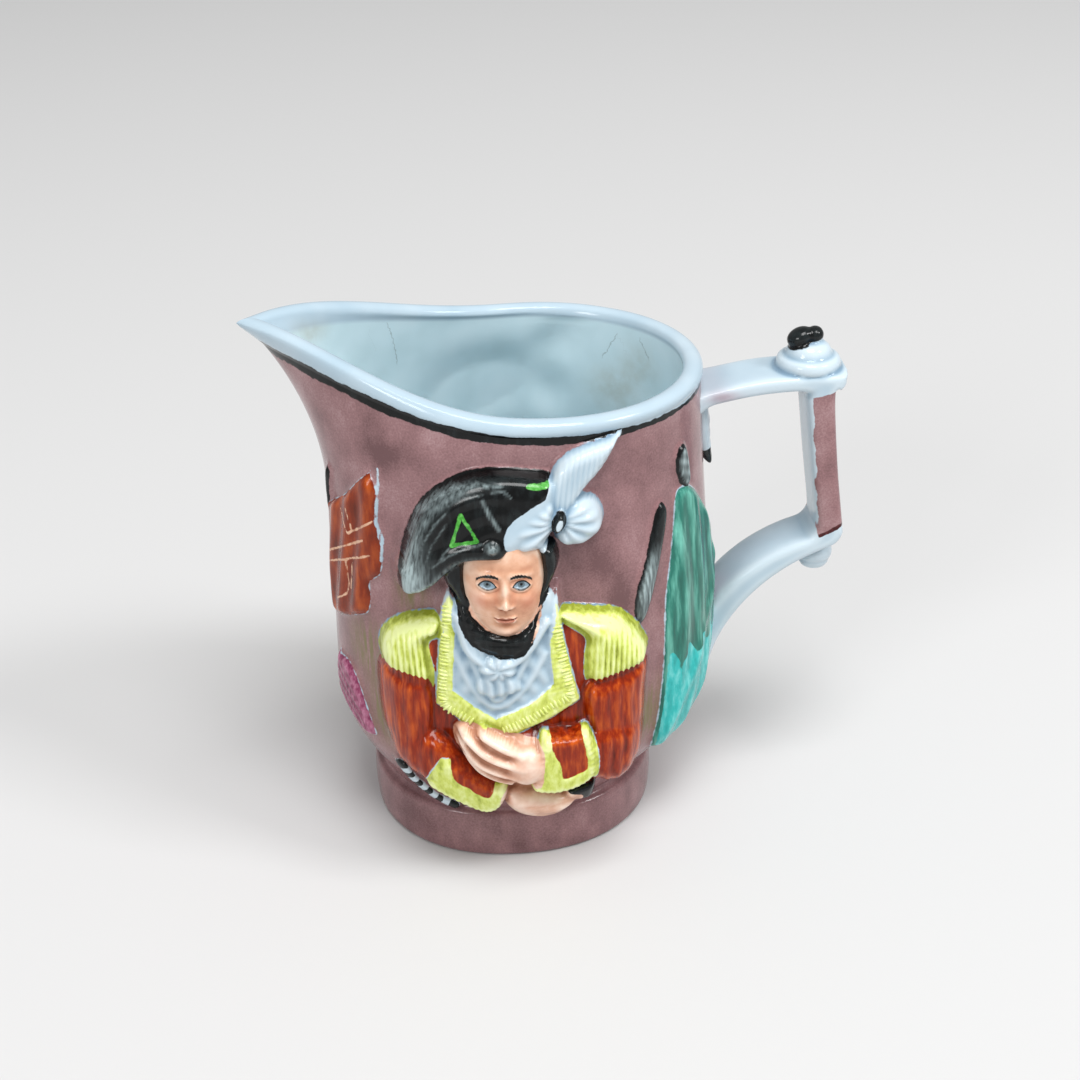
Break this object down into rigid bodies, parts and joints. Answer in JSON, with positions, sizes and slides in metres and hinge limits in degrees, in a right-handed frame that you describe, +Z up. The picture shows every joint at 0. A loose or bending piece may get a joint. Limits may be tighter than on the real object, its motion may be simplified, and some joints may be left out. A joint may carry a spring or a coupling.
{
  "type": "moulded_relief_jug",
  "caption": "Pink lustre pearlware jug with pouring lip, square strap handle and a painted half-length officer in relief on each side",
  "frame": {"origin": "centre of the bounding box in plan, on the plane the foot stands on", "axes": "+X from the pouring lip to the handle, +Y from the front figure to the back figure, +Z up"},
  "size_m": [0.1482, 0.1084, 0.1368],
  "materials": {
    "glazed_pearlware": "pressed pearlware under clear glaze, pink lustre ground with overglaze enamels"
  },
  "bodies": {
    "root": {"jug": "glazed_pearlware"}
  },
  "joints": []
}
